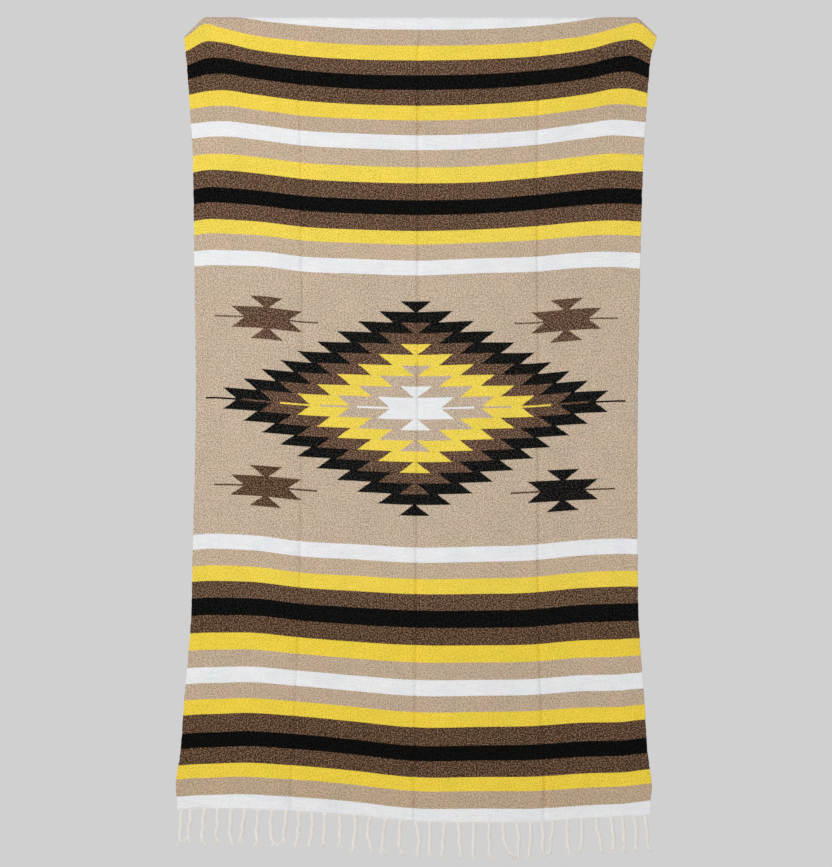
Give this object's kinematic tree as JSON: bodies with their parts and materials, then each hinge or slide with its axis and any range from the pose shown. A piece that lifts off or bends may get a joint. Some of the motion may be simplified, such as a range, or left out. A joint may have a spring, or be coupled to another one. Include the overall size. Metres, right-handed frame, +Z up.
{
  "type": "serape hung over a rod",
  "caption": "Flat woven serape with banded ends, a stepped diamond in the middle field and twisted end fringes, hung full length over a plain round rod.",
  "frame": {"origin": "centre of the rod, midway along its axis", "axes": "+Z up, the rod runs along X, the front of the cloth faces -Y"},
  "size_m": [1.2611, 0.0411, 2.2424],
  "materials": {
    "woven_wool": "matt weft-faced wool weave, banded in sand, yellow, brown, black and white",
    "fringe_yarn": "matt off-white twisted yarn",
    "rod_wood": "plain sanded softwood, unvarnished"
  },
  "bodies": {
    "root": {"serape_panel": "woven_wool", "fringe_bottom": "fringe_yarn", "fringe_top": "fringe_yarn", "hanging_rod": "rod_wood"}
  },
  "joints": []
}
